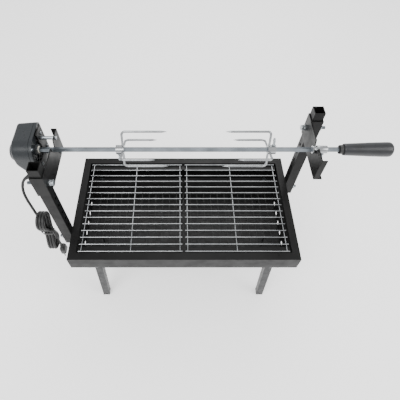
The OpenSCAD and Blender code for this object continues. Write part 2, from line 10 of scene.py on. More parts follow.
import bmesh
import bpy
from mathutils import Matrix, Vector


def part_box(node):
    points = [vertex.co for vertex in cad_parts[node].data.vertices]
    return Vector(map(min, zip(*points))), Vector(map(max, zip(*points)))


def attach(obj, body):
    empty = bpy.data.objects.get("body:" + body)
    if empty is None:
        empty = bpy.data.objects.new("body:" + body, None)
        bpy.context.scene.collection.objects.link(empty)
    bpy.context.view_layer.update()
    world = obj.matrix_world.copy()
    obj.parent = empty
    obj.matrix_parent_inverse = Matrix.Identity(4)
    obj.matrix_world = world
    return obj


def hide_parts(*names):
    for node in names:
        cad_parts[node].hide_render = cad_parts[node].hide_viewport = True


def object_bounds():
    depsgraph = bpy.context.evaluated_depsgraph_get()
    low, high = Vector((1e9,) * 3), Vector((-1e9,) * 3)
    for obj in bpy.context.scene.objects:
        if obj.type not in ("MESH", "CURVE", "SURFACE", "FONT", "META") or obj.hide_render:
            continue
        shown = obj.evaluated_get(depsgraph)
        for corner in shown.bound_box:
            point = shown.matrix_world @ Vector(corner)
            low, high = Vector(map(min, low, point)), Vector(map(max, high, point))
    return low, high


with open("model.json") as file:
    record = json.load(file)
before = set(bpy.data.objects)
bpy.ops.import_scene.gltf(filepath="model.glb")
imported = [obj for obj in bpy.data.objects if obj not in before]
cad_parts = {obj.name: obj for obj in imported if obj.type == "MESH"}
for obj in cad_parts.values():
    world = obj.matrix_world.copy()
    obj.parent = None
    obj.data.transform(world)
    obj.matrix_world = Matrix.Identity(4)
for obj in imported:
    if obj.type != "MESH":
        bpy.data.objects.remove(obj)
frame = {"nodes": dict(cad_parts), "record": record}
cad_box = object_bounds()
nodes = frame["nodes"]
scene = bpy.context.scene

MM = 0.001
rim_low, rim_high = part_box("rim_frame")
TRAY = Vector(((rim_low.x + rim_high.x) / 2, (rim_low.y + rim_high.y) / 2, rim_high.z))


def at(x, y, z):
    """A point in the row frame, in metres, from millimetres about the tray."""
    return TRAY + Vector((x, y, z)) * MM


# ---- Camera ----

CAMERA_AT = (-12.5, -552.5, 845.3)
CAMERA_DIP = 56.13  # degrees below level
FOCAL_SHARE = 0.8976  # focal length over the frame's width
SENSOR_MM = 36
AXIS_SHARE = 0.4478  # where the optical axis meets the frame, from its left edge

camera = bpy.data.objects.new("camera", bpy.data.cameras.new("camera"))
camera.location = at(*CAMERA_AT)
camera.rotation_euler = (math.radians(90 - CAMERA_DIP), 0, 0)
camera.data.sensor_width = SENSOR_MM
camera.data.lens = SENSOR_MM * FOCAL_SHARE
camera.data.shift_x = 0.5 - AXIS_SHARE
camera.data.clip_start = 0.01
camera.data.clip_end = 50
scene.collection.objects.link(camera)
scene.camera = camera


# ---- Mesh helpers ----

SMOOTH_BELOW = 35  # degrees between two faces whose edge is shaded smooth
MIN_R = 0.02  # the least radius of a turned piece, so that its ends stay closed
HEX_SIDES = 48  # points round a head or nut, enough to draw its turned-off corners


def mesh_piece(name, points, faces, smooth=True):
    """A new mesh object from points in metres and faces of point numbers."""
    mesh = bpy.data.meshes.new(name)
    mesh.from_pydata([tuple(p) for p in points], [], faces)
    mesh.validate()
    work = bmesh.new()
    work.from_mesh(mesh)
    bmesh.ops.recalc_face_normals(work, faces=work.faces)
    work.to_mesh(mesh)
    work.free()
    piece = bpy.data.objects.new(name, mesh)
    scene.collection.objects.link(piece)
    if smooth:
        shade_by_angle(mesh, SMOOTH_BELOW)
    return piece


def shade_by_angle(mesh, degrees):
    """Smooth faces, with the edges sharper than the angle kept sharp."""
    work = bmesh.new()
    work.from_mesh(mesh)
    for face in work.faces:
        face.smooth = True
    for edge in work.edges:
        turned = edge.calc_face_angle(math.pi) if len(edge.link_faces) == 2 else math.pi
        edge.smooth = turned < math.radians(degrees)
    work.to_mesh(mesh)
    work.free()


def rings_to_faces(rings, sides, closed_ends=True):
    """Faces that join rings of the same number of points, and cap the first and last."""
    faces = []
    for i in range(rings - 1):
        for k in range(sides):
            n = (k + 1) % sides
            faces.append((i * sides + k, i * sides + n, (i + 1) * sides + n, (i + 1) * sides + k))
    if closed_ends:
        faces.append(tuple(range(sides - 1, -1, -1)))
        faces.append(tuple((rings - 1) * sides + k for k in range(sides)))
    return faces


def basis(axis):
    """Two unit vectors square to axis and to each other."""
    axis = Vector(axis).normalized()
    hint = Vector((0, 0, 1))
    if abs(axis.dot(hint)) > 0.95:
        hint = Vector((0, 1, 0))
    side = axis.cross(hint).normalized()
    return side, side.cross(axis).normalized()


def turned(name, start, axis, profile, sides=40):
    """A round piece: profile is a list of (distance along axis, radius) in mm."""
    axis = Vector(axis).normalized()
    side, up = basis(axis)
    points = []
    for along, radius in profile:
        reach = max(radius, MIN_R)
        for k in range(sides):
            a = 2 * math.pi * k / sides
            outwards = side * math.cos(a) + up * math.sin(a)
            points.append(start + (axis * along + outwards * reach) * MM)
    return mesh_piece(name, points, rings_to_faces(len(profile), sides))


def hexagon(name, start, axis, height, corner_r, chamfer, turn):
    """A hexagonal bolt head or nut, with its corners turned off at both ends."""
    axis = Vector(axis).normalized()
    side, up = basis(axis)
    flat_r = corner_r * math.cos(math.pi / 6)
    end_r = flat_r + 0.1
    rings = ((0, end_r), (chamfer, math.inf), (height - chamfer, math.inf), (height, end_r))
    points = []
    for along, limit in rings:
        for k in range(HEX_SIDES):
            a = 2 * math.pi * k / HEX_SIDES
            within = (a + turn) % (math.pi / 3) - math.pi / 6
            radius = min(flat_r / math.cos(within), limit)
            outwards = side * math.cos(a) + up * math.sin(a)
            points.append(start + (axis * along + outwards * radius) * MM)
    return mesh_piece(name, points, rings_to_faces(len(rings), HEX_SIDES))


def threads(start_mm, end_mm, radius, pitch=1.25, depth=0.55):
    """A turned profile of thread ridges between two distances, with a chamfered end."""
    root_r = radius - depth
    profile = [(start_mm, root_r)]
    along = start_mm + 0.3
    while along + pitch < end_mm:
        profile += [(along, root_r), (along + pitch / 2, radius)]
        along += pitch
    return profile + [(end_mm - 0.6, root_r), (end_mm, root_r - 0.7)]


def joined(name, pieces):
    """One object made of several, which are joined into the first."""
    for piece in bpy.context.selected_objects:
        piece.select_set(False)
    first = pieces[0]
    with bpy.context.temp_override(
        active_object=first, object=first, selected_objects=pieces, selected_editable_objects=pieces
    ):
        bpy.ops.object.join()
    first.name = name
    return first


def twin(piece):
    """The same piece turned half way round the tray's upright axis."""
    copy = piece.copy()
    copy.data = piece.data.copy()
    scene.collection.objects.link(copy)
    about = Matrix.Translation(Vector((TRAY.x, TRAY.y, 0)))
    copy.data.transform(about @ Matrix.Rotation(math.pi, 4, "Z") @ about.inverted())
    return copy


def soften(node, width):
    """Small rounded edges on a CAD node, made by modifiers so its own mesh stays as imported."""
    piece = nodes[node]
    weld = piece.modifiers.new("weld", "WELD")
    weld.merge_threshold = 0.01 * MM
    # One face for each flat side, so that the bevels stay even
    flat = piece.modifiers.new("flat", "DECIMATE")
    flat.decimate_type = "DISSOLVE"
    flat.angle_limit = math.radians(1)
    bevel = piece.modifiers.new("bevel", "BEVEL")
    bevel.width = width * MM
    bevel.segments = 2
    bevel.limit_method = "ANGLE"
    bevel.angle_limit = math.radians(30)
    bevel.use_clamp_overlap = True


# ---- Power cord: one curve from the motor's outlet, through its hank, to the plug ----

CORD_D = 7
# From the motor's outlet down to the hank
CORD_ROUTE = [
    (-391, -18, 142), (-395, -19, 138), (-399, -21, 132), (-402, -24, 124), (-404, -28, 114),
    (-404, -33, 103), (-402, -38, 92), (-399, -43, 81), (-395, -48, 70), (-391, -53, 59),
    (-387, -58, 48), (-382, -63, 37), (-378, -68, 27), (-375, -73, 17), (-374, -77, 8),
    (-374, -80, 0),
]
HANK_MID_Y = -84
HANK_MID_Z = 0
HANK_TURNS = 3
HANK_LAYER = 7.3  # each turn lies this much nearer the tray
HANK_STRAIGHT = 53  # from the tie's level to where an end loop starts
LOOP_R = 21.5
WAIST = 4  # half the distance between the two sides under the tie
STRAIGHT_STEPS = 5  # points on each stretch between the tie and an end loop
LOOP_STEPS = 10  # steps round an end loop
PLUG_X = -350.5
PLUG_TOP = -81


def hank_points():
    """Turns of the hank: narrow at the tie and wide at both ends, as (x, y, z)."""

    def side(sign, share):
        s = share * share * (3 - 2 * share)
        return sign * (WAIST + (LOOP_R - WAIST) * s)

    points, x0 = [], CORD_ROUTE[-1][0]
    straight = [i / STRAIGHT_STEPS for i in range(1, STRAIGHT_STEPS + 1)]
    arc = [math.pi * i / LOOP_STEPS for i in range(1, LOOP_STEPS)]
    for turn in range(HANK_TURNS):
        loop = [(side(1, s), -s * HANK_STRAIGHT) for s in straight]
        loop += [(LOOP_R * math.cos(a), -HANK_STRAIGHT - LOOP_R * math.sin(a)) for a in arc]
        loop += [(side(-1, s), -s * HANK_STRAIGHT) for s in reversed(straight)]
        loop += [(-WAIST, 0)]
        loop += [(side(-1, s), s * HANK_STRAIGHT) for s in straight]
        loop += [(-LOOP_R * math.cos(a), HANK_STRAIGHT + LOOP_R * math.sin(a)) for a in arc]
        loop += [(side(1, s), s * HANK_STRAIGHT) for s in reversed(straight)]
        loop += [(WAIST, 0)]
        for i, (y, z) in enumerate(loop):
            x = x0 + HANK_LAYER * (turn + (i + 1) / len(loop))
            points.append((x, HANK_MID_Y + y, HANK_MID_Z + z))
    return points


def spline_curve(name, points_mm, diameter):
    """A round cord through points, as a smooth Bezier curve."""
    curve = bpy.data.curves.new(name, "CURVE")
    curve.dimensions = "3D"
    # The depth is times each point's radius, and a curve's bounds reach out by that radius
    curve.bevel_depth = 1
    curve.bevel_resolution = 5
    curve.resolution_u = 5
    curve.use_fill_caps = True
    spline = curve.splines.new("BEZIER")
    spline.bezier_points.add(len(points_mm) - 1)
    places = [at(*place) for place in points_mm]
    for i, point in enumerate(spline.bezier_points):
        before, here, after = places[max(i - 1, 0)], places[i], places[min(i + 1, len(places) - 1)]
        along = (after - before).normalized()
        point.handle_left_type = "FREE"
        point.handle_right_type = "FREE"
        point.co = here
        point.radius = diameter / 2 * MM
        point.handle_left = here - along * (here - before).length / 3
        point.handle_right = here + along * (after - here).length / 3
    piece = bpy.data.objects.new(name, curve)
    scene.collection.objects.link(piece)
    bpy.context.view_layer.update()
    return piece


coil = hank_points()
coil_x = coil[-1][0]
# From the hank's last turn down into the plug
tail = [(coil_x + 0.6, -80.5, -20), (coil_x + 0.8, -82, -40), (coil_x + 0.6, -83.5, -62),
        (PLUG_X, HANK_MID_Y, PLUG_TOP - 2)]
cord = spline_curve("mains_lead", CORD_ROUTE + coil + tail, CORD_D)
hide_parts("power_cord", "cord_hank", "cord_tail")
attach(cord, "carriage")


# ---- Strain relief: a flange, then a tapered boot with grip rings ----

OUTLET = (-370, -18, 160)
FLANGE_T = 2
BOOT_DIP = math.radians(40)  # how far the boot points below level
BOOT_R = 5.9
BOOT_RINGS = 7
RING_PITCH = 3.6
RING_TAPER = 0.26  # how much thinner each ring is than the last
GROOVE = 0.9  # depth between two rings

boot_axis = (-math.cos(BOOT_DIP), 0, -math.sin(BOOT_DIP))
boot_profile = [(-1, BOOT_R)]
for i in range(BOOT_RINGS):
    along = RING_PITCH * i
    ring_r = BOOT_R - RING_TAPER * i
    groove_r = ring_r - GROOVE
    boot_profile += [(along, ring_r), (along + 2.2, ring_r - 0.1),
                     (along + 2.4, groove_r), (along + 3.4, groove_r)]
boot_profile += [(27.5, 4.2), (28, 3.6)]
relief = joined("strain_relief_boot", [
    turned("boot", at(*OUTLET), boot_axis, boot_profile),
    turned("boot_flange", at(OUTLET[0] - FLANGE_T, OUTLET[1], OUTLET[2]), (1, 0, 0),
           [(0, 7), (0.5, 7.9), (FLANGE_T, 8), (FLANGE_T, 5)]),
])
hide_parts("strain_relief")
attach(relief, "carriage")


# ---- Plug, its two contacts, and the strap round the hank ----

CORNER_STEPS = 6


def rounded_ring(half_x, half_y, radius):
    """Corner-rounded rectangle as (x, y) points."""
    ring = []
    for corner, (sx, sy) in enumerate(((1, 1), (-1, 1), (-1, -1), (1, -1))):
        for i in range(CORNER_STEPS + 1):
            a = math.pi / 2 * (corner + i / CORNER_STEPS)
            x = sx * (half_x - radius) + radius * math.cos(a)
            y = sy * (half_y - radius) + radius * math.sin(a)
            ring.append((x, y))
    return ring


def loft_z(name, middle, sections):
    """Rounded rectangles stacked along Z: each section is (z, half x, half y, corner radius)."""
    points, sides = [], 0
    for z, half_x, half_y, radius in sections:
        ring = rounded_ring(half_x, half_y, min(radius, half_x * 0.99, half_y * 0.99))
        sides = len(ring)
        points += [at(middle[0] + x, middle[1] + y, z) for x, y in ring]
    return mesh_piece(name, points, rings_to_faces(len(sections), sides))


PLUG_LOW = -117
NECK_RIBS = 4
RIB_PITCH = 2.4
CONTACT_OUT = 9.5  # from the plug's middle to each contact

plug_sections = [(PLUG_TOP, 3.8, 3.8, 3.7)]
for i in range(NECK_RIBS):
    z = PLUG_TOP - 1 - RIB_PITCH * i
    wider, deeper = 0.2 * i, 0.3 * i  # the neck grows towards the plug's body
    plug_sections += [
        (z, 4.6 + wider, 5 + deeper, 4.5), (z - 1.4, 4.7 + wider, 5.1 + deeper, 4.5),
        (z - 1.5, 4 + wider, 4.4 + deeper, 3.9), (z - 2.3, 4 + wider, 4.4 + deeper, 3.9),
    ]
plug_sections += [
    (-92, 6.2, 8, 5.5), (-95, 7.4, 11.4, 6), (-99, 7.9, 12.8, 6), (-106, 7.6, 12.4, 5.5),
    (-113, 7.9, 12.9, 5), (-116.2, 7.9, 12.9, 4.6), (PLUG_LOW, 7.2, 12.2, 4),
]
plug = loft_z("plug_moulding", (PLUG_X, HANK_MID_Y), plug_sections)
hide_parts("plug_body")
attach(plug, "carriage")
pins = joined("plug_contacts", [
    turned(f"pin_{k}", at(PLUG_X, HANK_MID_Y + side * CONTACT_OUT, PLUG_LOW + 0.5), (0, 0, -1),
           [(0, 2.4), (17.5, 2.4), (18.6, 2), (19.4, 1.1), (19.5, 0.1)], 20)
    for k, side in enumerate((-1, 1))
])
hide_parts("plug_pins")
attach(pins, "carriage")

# The strap is a flat band pulled round the hank's waist, with a buckle on its outer side
STRAP_X = (-378.2, -346.6)
STRAP_Y = (-92.2, -75.8)
STRAP_Z = -3
STRAP_CORNER = 6
STRAP_SECTION = [(-2.6, 0), (-2.9, 0.5), (-2.6, 1.1), (2.6, 1.1), (2.9, 0.5), (2.6, 0)]
BUCKLE_SECTIONS = [(-6.5, 1.6, 3.4, 1), (-6, 2, 3.8, 1.2), (0, 2, 3.8, 1.2), (0.5, 1.6, 3.4, 1)]


def strap_band(name):
    """The closed band: its section is a list of (height, distance out from the hank)."""
    middle = ((STRAP_X[0] + STRAP_X[1]) / 2, (STRAP_Y[0] + STRAP_Y[1]) / 2)
    half = ((STRAP_X[1] - STRAP_X[0]) / 2, (STRAP_Y[1] - STRAP_Y[0]) / 2)
    points, sides = [], 0
    for height, out in STRAP_SECTION:
        ring = rounded_ring(half[0] + out, half[1] + out, STRAP_CORNER + out)
        sides = len(ring)
        points += [at(middle[0] + x, middle[1] + y, height + STRAP_Z) for x, y in ring]
    last = (len(STRAP_SECTION) - 1) * sides
    faces = rings_to_faces(len(STRAP_SECTION), sides, False)
    faces += [(last + k, last + (k + 1) % sides, (k + 1) % sides, k) for k in range(sides)]
    return mesh_piece(name, points, faces)


tie = joined("cord_strap", [
    strap_band("cord_strap"),
    loft_z("strap_buckle", (STRAP_X[0] - 2, HANK_MID_Y), BUCKLE_SECTIONS),
])
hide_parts("cord_tie")
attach(tie, "carriage")


# ---- Materials ----


class Finish:
    """A node material built up on a Principled shader, in the object's own coordinates."""

    def __init__(self, name, color, roughness, metallic=0.0):
        self.material = bpy.data.materials.new(name)
        self.material.use_nodes = True
        self.tree = self.material.node_tree
        self.shader = self.tree.nodes["Principled BSDF"]
        self.shader.inputs["Metallic"].default_value = metallic
        self.coords = self.tree.nodes.new("ShaderNodeTexCoord").outputs["Object"]
        self.shader.inputs["Base Color"].default_value = (*color, 1)
        self.shader.inputs["Roughness"].default_value = roughness

    def noise(self, scale, detail=4, stretch=(1, 1, 1), rough=0.55):
        """Noise of so many cells to the metre, stretched by axis."""
        mapping = self.tree.nodes.new("ShaderNodeMapping")
        mapping.inputs["Scale"].default_value = stretch
        self.tree.links.new(self.coords, mapping.inputs["Vector"])
        noise = self.tree.nodes.new("ShaderNodeTexNoise")
        noise.inputs["Scale"].default_value = scale
        noise.inputs["Detail"].default_value = detail
        noise.inputs["Roughness"].default_value = rough
        self.tree.links.new(mapping.outputs["Vector"], noise.inputs["Vector"])
        return noise.outputs["Fac"]

    def ramp(self, factor, *stops):
        """Colours or greys at places along a factor: each stop is (place, value)."""
        node = self.tree.nodes.new("ShaderNodeValToRGB")
        elements = node.color_ramp.elements
        while len(elements) < len(stops):
            elements.new(0.5)
        for element, (place, value) in zip(elements, stops):
            element.position = place
            element.color = (*value, 1) if isinstance(value, tuple) else (value, value, value, 1)
        self.tree.links.new(factor, node.inputs["Fac"])
        return node.outputs["Color"]

    def colored(self, socket):
        """Colour from a socket. This and the next two return the finish itself."""
        self.tree.links.new(socket, self.shader.inputs["Base Color"])
        return self

    def roughened(self, socket):
        """Roughness from a socket."""
        self.tree.links.new(socket, self.shader.inputs["Roughness"])
        return self

    def bumped(self, socket, depth_mm):
        """Bumps of so many millimetres from a socket."""
        bump = self.tree.nodes.new("ShaderNodeBump")
        bump.inputs["Strength"].default_value = 1
        bump.inputs["Distance"].default_value = depth_mm * MM
        self.tree.links.new(socket, bump.inputs["Height"])
        self.tree.links.new(bump.outputs["Normal"], self.shader.inputs["Normal"])
        return self


def grey(level):
    """A linear colour from an even sRGB grey, 0 to 255."""
    share = level / 255
    value = share / 12.92 if share <= 0.04045 else ((share + 0.055) / 1.055) ** 2.4
    return (value, value, value)


def srgb(r, g, b):
    """A linear colour from an sRGB one, each channel 0 to 255."""
    return tuple(grey(level)[0] for level in (r, g, b))


def painted(name, base, light, roughness):
    """Paint on steel: a slight orange peel, and uneven gloss where it has been handled."""
    finish = Finish(name, base, roughness)
    finish.shader.inputs["Specular IOR Level"].default_value = 0.13
    finish.colored(finish.ramp(finish.noise(14, 5), (0.3, base), (0.75, light)))
    gloss, spread = finish.noise(30, 6), 0.12
    finish.roughened(finish.ramp(gloss, (0.3, roughness - spread), (0.7, roughness + spread)))
    return finish.bumped(finish.noise(900, 3), 0.03)


def bare_metal(name, base, light, roughness, stretch=(1, 1, 1), grain=500, grain_mm=0.01):
    """Bare or plated metal, with fine drawn lines along whatever axis isn't stretched."""
    finish = Finish(name, base, roughness, 1.0)
    finish.colored(finish.ramp(finish.noise(25, 4), (0.3, base), (0.7, light)))
    gloss = finish.noise(grain, 4, stretch)
    finish.roughened(finish.ramp(gloss, (0.25, roughness - 0.08), (0.75, roughness + 0.14)))
    return finish.bumped(finish.noise(grain, 3, stretch), grain_mm)


def molded(name, base, light, roughness, grain=1400, grain_mm=0.025):
    """Moulded plastic or rubber with a fine spark-eroded grain."""
    finish = Finish(name, base, roughness)
    finish.colored(finish.ramp(finish.noise(40, 3), (0.35, base), (0.7, light)))
    gloss = finish.noise(90, 4)
    finish.roughened(finish.ramp(gloss, (0.3, roughness - 0.06), (0.7, roughness + 0.1)))
    return finish.bumped(finish.noise(grain, 2), grain_mm)


def coated_rim():
    """Satin black paint with a thin clear coat, on the tray's skirt and rim."""
    finish = painted("satin_frame_paint", grey(18), grey(24), 0.38)
    finish.shader.inputs["Coat Weight"].default_value = 0.04
    finish.shader.inputs["Coat Roughness"].default_value = 0.28
    return finish


def firebox():
    """Heat-proof black paint inside the basin, matt, with a trace of ash brown."""
    finish = Finish("firebox_paint", grey(20), 0.6)
    stain = finish.noise(9, 6, rough=0.65)
    finish.colored(finish.ramp(stain, (0.35, grey(15)), (0.62, grey(24)), (0.85, srgb(38, 34, 31))))
    finish.roughened(finish.ramp(finish.noise(50, 5), (0.3, 0.42), (0.7, 0.72)))
    return finish.bumped(finish.noise(700, 4), 0.06)


def enamelled(name, base, light, roughness):
    """Stove enamel with a soft sheen."""
    finish = Finish(name, base, roughness, 0.1)
    finish.shader.inputs["Specular IOR Level"].default_value = 0.22
    finish.colored(finish.ramp(finish.noise(600, 2), (0.3, base), (0.75, light)))
    gloss = finish.noise(60, 5)
    finish.roughened(finish.ramp(gloss, (0.3, roughness - 0.05), (0.7, roughness + 0.1)))
    finish.shader.inputs["Coat Weight"].default_value = 0.1
    finish.shader.inputs["Coat Roughness"].default_value = 0.25
    return finish.bumped(finish.noise(800, 3), 0.03)


FINISHES = {
    "black_paint": painted("black_paint", grey(14), grey(20), 0.4).material,
    "firebox_paint": firebox().material,
    "frame_paint": coated_rim().material,
    "bracket_paint": painted("bracket_paint", grey(15), grey(21), 0.36).material,
    "leg_paint": enamelled("leg_paint", srgb(13, 14, 16), srgb(19, 20, 23), 0.4).material,
    "zinc": bare_metal("zinc_plate", srgb(140, 146, 151), srgb(170, 174, 176), 0.32,
                       grain=350).material,
    "chromed_wire": bare_metal("chromed_steel", srgb(138, 140, 142), srgb(164, 166, 168), 0.2,
                               (0.06, 1, 1), 900, 0.006).material,
    "spit_steel": bare_metal("spit_steel", srgb(104, 109, 114), srgb(134, 140, 146), 0.3,
                             (0.03, 1, 1), 1200, 0.015).material,
    "motor_paint": enamelled("motor_paint", srgb(34, 37, 39), srgb(42, 45, 48), 0.26).material,
    "laminations": bare_metal("laminations", srgb(120, 122, 126), srgb(150, 152, 155), 0.42,
                              (1, 0.02, 0.02), 2000, 0.05).material,
    "winding": bare_metal("copper_winding", srgb(168, 96, 52), srgb(196, 120, 70), 0.32,
                          (1, 0.02, 1), 2500, 0.1).material,
    "gear_nylon": molded("gear_nylon", srgb(226, 222, 208), srgb(236, 233, 222), 0.42).material,
    "black_plastic": molded("black_plastic", grey(24), grey(33), 0.42).material,
    "handle_plastic": molded("handle_plastic", srgb(20, 21, 24), srgb(27, 28, 32), 0.32,
                             1100, 0.04).material,
    "cord_sheath": molded("cord_sheath", grey(20), grey(28), 0.46, 2200, 0.02).material,
}

# Nodes whose finish differs from their slot's own
NODE_FINISHES = {
    "rim_frame": "frame_paint", "grate_ledges": "frame_paint",
    "leg_front_left": "leg_paint", "leg_front_right": "leg_paint",
    "leg_rear_left": "leg_paint", "leg_rear_right": "leg_paint",
    "upright_left": "black_paint", "upright_right": "black_paint",
    "spit_rod_drive": "spit_steel", "spit_rod_handle": "spit_steel",
}


def give_finish(piece, finish):
    """One of the finishes as the piece's only material."""
    piece.data.materials.clear()
    piece.data.materials.append(FINISHES[finish])


for subpart in frame["record"]["subparts"]:
    node = subpart["node"]
    give_finish(nodes[node], NODE_FINISHES.get(node, subpart["material_slot"]))
for piece, finish in ((cord, "cord_sheath"), (relief, "cord_sheath"), (plug, "black_plastic"),
                      (pins, "chromed_wire"), (tie, "black_plastic")):
    give_finish(piece, finish)


# ---- Rounded edges on the folded, cut and moulded CAD pieces ----

EDGES = {
    0.4: ("fire_basin",),
    0.45: ("upright_left", "upright_right", "leg_front_left", "leg_front_right",
           "leg_rear_left", "leg_rear_right"),
    0.5: ("rim_frame", "bracket_left", "bracket_right", "motor_plate", "grate_ledges",
          "support_bush"),
    0.6: ("gearbox_cover", "foot_plugs"),
}
for width, softened in EDGES.items():
    for node in softened:
        soften(node, width)


# ---- Fasteners ----

BOLT_Y = 84
BOLT_R = 4  # over the thread, for M8
HEX_R = 7.5  # to a corner of the head or nut
NUT_T = 6.5
HEIGHT_BOLT_Z = 215
UPRIGHT_BOLT_Z = -27


def bolt_with_nuts(name, z, head_x, nuts_x, end_x, plain_l):
    """An M8 hexagon bolt along +X at the right-hand upright, with its nuts, and their twins."""
    shank_r = BOLT_R - 0.1
    shank = [(0, shank_r), (plain_l, shank_r)] + threads(plain_l, end_x - head_x[1], BOLT_R)
    head_t = head_x[1] - head_x[0]
    bolt = joined(name, [
        hexagon(name + "_head", at(head_x[0], BOLT_Y, z), (1, 0, 0), head_t, HEX_R, 0.8, 0.2),
        turned(name + "_shank", at(head_x[1] - 0.2, BOLT_Y, z), (1, 0, 0), shank, 24),
    ])
    both = joined(name, [bolt, twin(bolt)])
    right = [hexagon(name + "_nut", at(x, BOLT_Y, z), (1, 0, 0), NUT_T, HEX_R, 0.9, 0.5 + k)
             for k, x in enumerate(nuts_x)]
    nut = joined(name + "_nuts", right) if len(right) > 1 else right[0]
    return both, joined(name + "_nuts", [nut, twin(nut)])


bolts, nuts = bolt_with_nuts("height_bolt", HEIGHT_BOLT_Z, (285.3, 290.8), (291, 327.5), 344.5, 2)
for piece, node in ((bolts, "height_bolts"), (nuts, "height_nuts")):
    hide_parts(node)
    give_finish(piece, "zinc")
    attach(piece, "carriage")
bolts, nuts = bolt_with_nuts("upright_bolt", UPRIGHT_BOLT_Z, (293, 298.5), (325,), 338, 3)
for piece, node in ((bolts, "upright_bolts"), (nuts, "upright_nuts")):
    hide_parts(node)
    give_finish(piece, "zinc")
    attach(piece, "stand")


def pan_head(name, start, axis, radius, height, turn):
    """A domed screw head with a cross recess, as rings whose height dips inside the cross."""
    axis = Vector(axis).normalized()
    side, up = basis(axis)
    sides, rings = 48, 9
    cross_half, cross_reach = 0.13 * radius + 0.12, 0.58 * radius
    points = []
    for i in range(rings):
        share = (rings - i) / rings
        r = radius * share
        for k in range(sides):
            a = 2 * math.pi * k / sides
            y, z = r * math.cos(a), r * math.sin(a)
            lift = height * (1 - 0.55 * share * share)
            c, s = abs(math.cos(a - turn) * r), abs(math.sin(a - turn) * r)
            if min(c, s) < cross_half and max(c, s) < cross_reach:
                lift -= 0.45 * height
            points.append(start + (axis * lift + side * y + up * z) * MM)
    top = len(points)
    points.append(start + axis * (0.4 * height) * MM)
    faces = rings_to_faces(rings, sides, False)
    for k in range(sides):
        faces.append(((rings - 1) * sides + k, (rings - 1) * sides + (k + 1) % sides, top))
    low = len(points)
    for k in range(sides):
        a = 2 * math.pi * k / sides
        points.append(start + (side * math.cos(a) + up * math.sin(a)) * radius * MM)
    for k in range(sides):
        n = (k + 1) % sides
        faces.append((low + k, low + n, n, k))
    faces.append(tuple(low + k for k in reversed(range(sides))))
    return mesh_piece(name, points, faces)


SPIT_Z = 229
MOTOR_LOW = 141
COVER_POSTS = [(-20, SPIT_Z + 21), (52, SPIT_Z + 25), (55.5, SPIT_Z - 29),
               (-24, MOTOR_LOW + 8), (51, MOTOR_LOW + 9)]
PLATE_POSTS = [(34, SPIT_Z + 19), (38, SPIT_Z - 29), (-14, SPIT_Z - 33)]


def screw_set(kind, posts, seat_x, head, shank, turn):
    """Screws along -X at each (y, z): head is (radius, height) and shank (radius, length)."""
    thread = threads(0, shank[1], shank[0], pitch=0.8, depth=0.3)
    pieces = []
    for i, (y, z) in enumerate(posts):
        pieces.append(pan_head(f"{kind}_head_{i}", at(seat_x, y, z), (1, 0, 0), *head, turn + i))
        pieces.append(turned(f"{kind}_shank_{i}", at(seat_x + 0.1, y, z), (-1, 0, 0), thread, 16))
    return joined(f"{kind}_screw_set", pieces)


cover_set = screw_set("cover", COVER_POSTS, -337, (3.8, 2.3), (1.6, 14), 0.3)
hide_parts("cover_screws")
plate_set = screw_set("plate", PLATE_POSTS, -330.5, (4, 2.5), (2, 8.3), 0.9)
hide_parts("plate_screws")
for piece in (cover_set, plate_set):
    give_finish(piece, "zinc")
    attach(piece, "carriage")


# ---- Motor's rear shell: drafted walls, rounded edges and a blended dome ----

MOTOR_Y = (-33, 60)
MOTOR_HIGH = 262
CROWN_R = 33  # the outline's large round over the spit
CORNER_R = 10
OUTLINE_POINTS = 132
ARC_STEPS = 24
SEAM_X = -343  # where the shell meets the gearbox cover
REAR_X = -370  # its back below the rotor
REAR_STEP = 15  # how much deeper it is above
STEP_Z = (SPIT_Z - 46, SPIT_Z - 16)  # over which it gets deeper
DOME_AT = (11, 210)
DOME_X = -402
DOME_R = (18, 31)  # of its flat top and of its foot
DRAFT = 2.6  # how far the walls lean in
EDGE_R = 6
WALL_T = 2
FACE_RINGS = 40
EDGE_RINGS = 6
SWITCH_AT = (-370, 38, MOTOR_LOW + 21)
SWITCH_HOLE = (5.4, 9.4)  # half its width and height


def shell_outline():
    """Points evenly spaced round the motor's outline, as (y, z), round over the spit."""
    low_y, high_y = MOTOR_Y
    corners = [
        ((low_y + CROWN_R, SPIT_Z), CROWN_R, 90),
        ((low_y + CORNER_R, MOTOR_LOW + CORNER_R), CORNER_R, 180),
        ((high_y - CORNER_R, MOTOR_LOW + CORNER_R), CORNER_R, 270),
        ((high_y - CORNER_R, MOTOR_HIGH - CORNER_R), CORNER_R, 360),
    ]
    dense = []
    for (y, z), radius, start in corners:
        for i in range(ARC_STEPS + 1):
            a = math.radians(start + 90 * i / ARC_STEPS)
            dense.append(Vector((y + radius * math.cos(a), z + radius * math.sin(a))))
    dense.append(dense[0])
    lengths = [(dense[i + 1] - dense[i]).length for i in range(len(dense) - 1)]
    step, points, i, passed = sum(lengths) / OUTLINE_POINTS, [], 0, 0.0
    for k in range(OUTLINE_POINTS):
        while passed + lengths[i] < k * step:
            passed += lengths[i]
            i += 1
        points.append(dense[i].lerp(dense[i + 1], (k * step - passed) / lengths[i]))
    return points


def ease(low, high, value):
    """0 up to low and 1 from high, with an even slope between."""
    share = min(max((value - low) / (high - low), 0), 1)
    return share * share * (3 - 2 * share)


def rear_face(y, z):
    """How far back the shell reaches: shallow below, deep above, with a dome over the rotor."""
    base = REAR_X - REAR_STEP * ease(*STEP_Z, z)
    dome = 1 - ease(*DOME_R, math.hypot(y - DOME_AT[0], z - DOME_AT[1]))
    return base + (DOME_X - base) * dome


def drawn_in(p, inset):
    """An outline point moved towards the dome's middle."""
    centre = Vector(DOME_AT)
    return centre + (p - centre) * (1 - inset / (p - centre).length)


